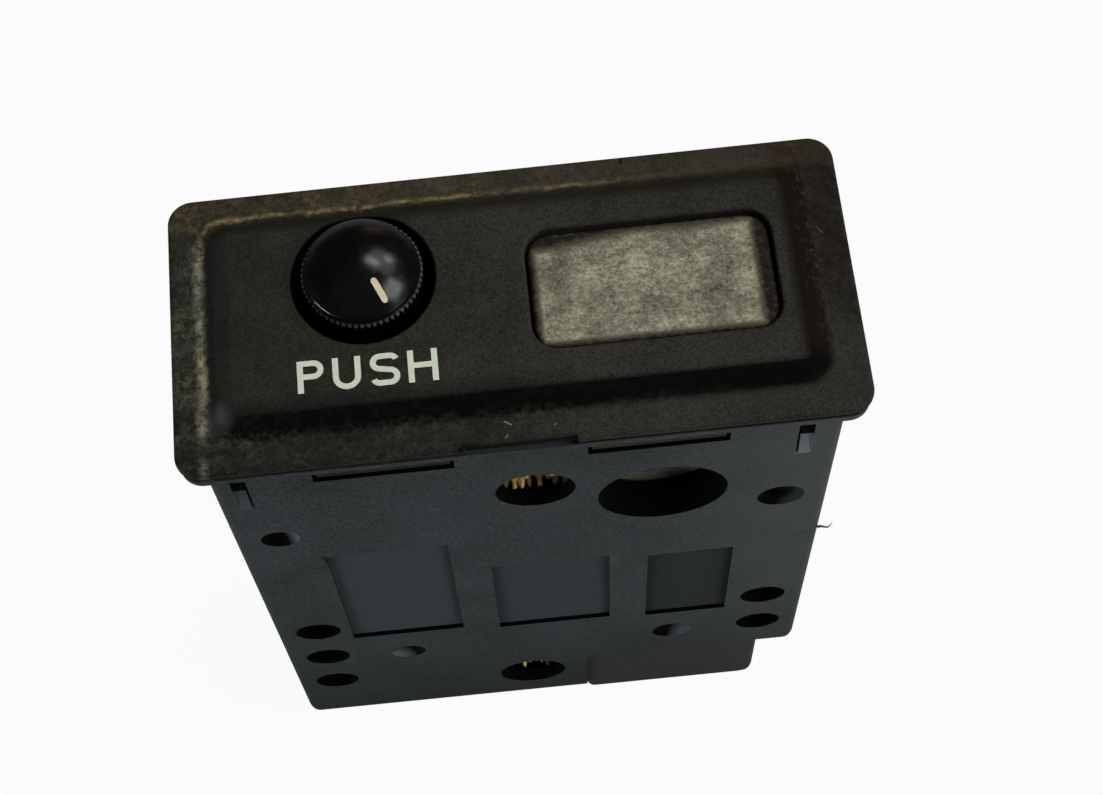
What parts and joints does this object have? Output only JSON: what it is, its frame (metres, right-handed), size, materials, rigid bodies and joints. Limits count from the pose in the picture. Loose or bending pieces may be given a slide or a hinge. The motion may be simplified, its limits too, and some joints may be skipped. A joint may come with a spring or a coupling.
{
  "type": "dash light dimmer switch",
  "caption": "Deep dashboard module with a domed push-to-release dimmer knob beside a blank window, access holes in the floor and a rear plug socket",
  "frame": {"origin": "Middle of the rear face of the housing's flange, the plane that seats on the dashboard", "axes": "+Z out of the front face, +X to the right seen from the front, +Y up"},
  "size_m": [0.064, 0.029, 0.0891],
  "materials": {
    "bezel_plastic": "fine-grained black ABS, dusty",
    "insert_plastic": "dull olive-grey plastic, dusty",
    "knob_plastic": "polished black plastic",
    "pointer_ink": "cream inlay",
    "housing_plastic": "slate-grey glass-filled PBT",
    "board": "pale green-grey laminate",
    "solder": "fluxed solder",
    "sheet_steel": "zinc-plated sheet",
    "die_cast": "zinc die casting",
    "phenolic": "brown phenolic laminate",
    "dimmer_plastic": "black thermoset",
    "acetal": "natural acetal",
    "brass": "bright spring brass",
    "steel_bar": "turned steel",
    "spring_steel": "drawn wire",
    "tinned": "tinned brass",
    "epoxy_brown": "dipped epoxy",
    "capacitor_sleeve": "shrink sleeve",
    "aluminium": "extruded aluminium",
    "black_epoxy": "moulded epoxy",
    "film_coat": "dipped coating",
    "resistor_coat": "tan lacquer",
    "copper_wire": "enamelled copper winding"
  },
  "bodies": {
    "case": {"front_bezel": "bezel_plastic", "window_insert": "insert_plastic", "housing": "housing_plastic", "circuit_board": "board", "solder_joints": "solder", "dimmer_bracket": "sheet_steel", "bushing": "die_cast", "resistor_wafer": "phenolic", "dimmer_case": "dimmer_plastic", "dimmer_terminals": "tinned", "latch_case": "dimmer_plastic", "return_spring": "spring_steel", "control_module": "epoxy_brown", "filter_capacitor": "capacitor_sleeve", "heat_sink": "aluminium", "power_transistor": "black_epoxy", "transistor_screw": "die_cast", "film_capacitor": "film_coat", "resistors": "resistor_coat", "diodes": "black_epoxy", "driver_transistors": "black_epoxy", "noise_choke": "copper_wire", "terminal_base": "housing_plastic", "connector_terminals": "tinned"},
    "rotor": {"rotor": "acetal", "wiper": "brass"},
    "knob": {"knob": "knob_plastic", "knob_pointer": "pointer_ink", "knob_shaft": "steel_bar"},
    "slider": {"latch_slider": "acetal"},
    "pin": {"latch_pin": "spring_steel"}
  },
  "joints": [
    {"name": "knob_turn", "type": "hinge", "parent": "case", "child": "rotor", "pos_m": [-0.0135, 0.0034, -0.015], "axis": [0, 0, 1], "range_deg": [0, 310]},
    {"name": "knob_push", "type": "slide", "parent": "rotor", "child": "knob", "axis": [0, 0, 1], "range_m": [-0.0008, 0.006], "deforming": ["return_spring"]},
    {"name": "latch_slide", "type": "slide", "parent": "case", "child": "slider", "axis": [0, 0, 1], "range_m": [-0.0009, 0.0061]},
    {"name": "latch_swing", "type": "hinge", "parent": "case", "child": "pin", "pos_m": [-0.0135, 0.009, -0.0216], "axis": [0, -1, 0], "range_deg": [-1.8, 13]}
  ],
  "couplings": [
    {"joint": "latch_slide", "follows": "knob_push", "ratio": 1},
    {"joint": "latch_swing", "follows": "knob_push", "rad_per_m": 37.349}
  ]
}
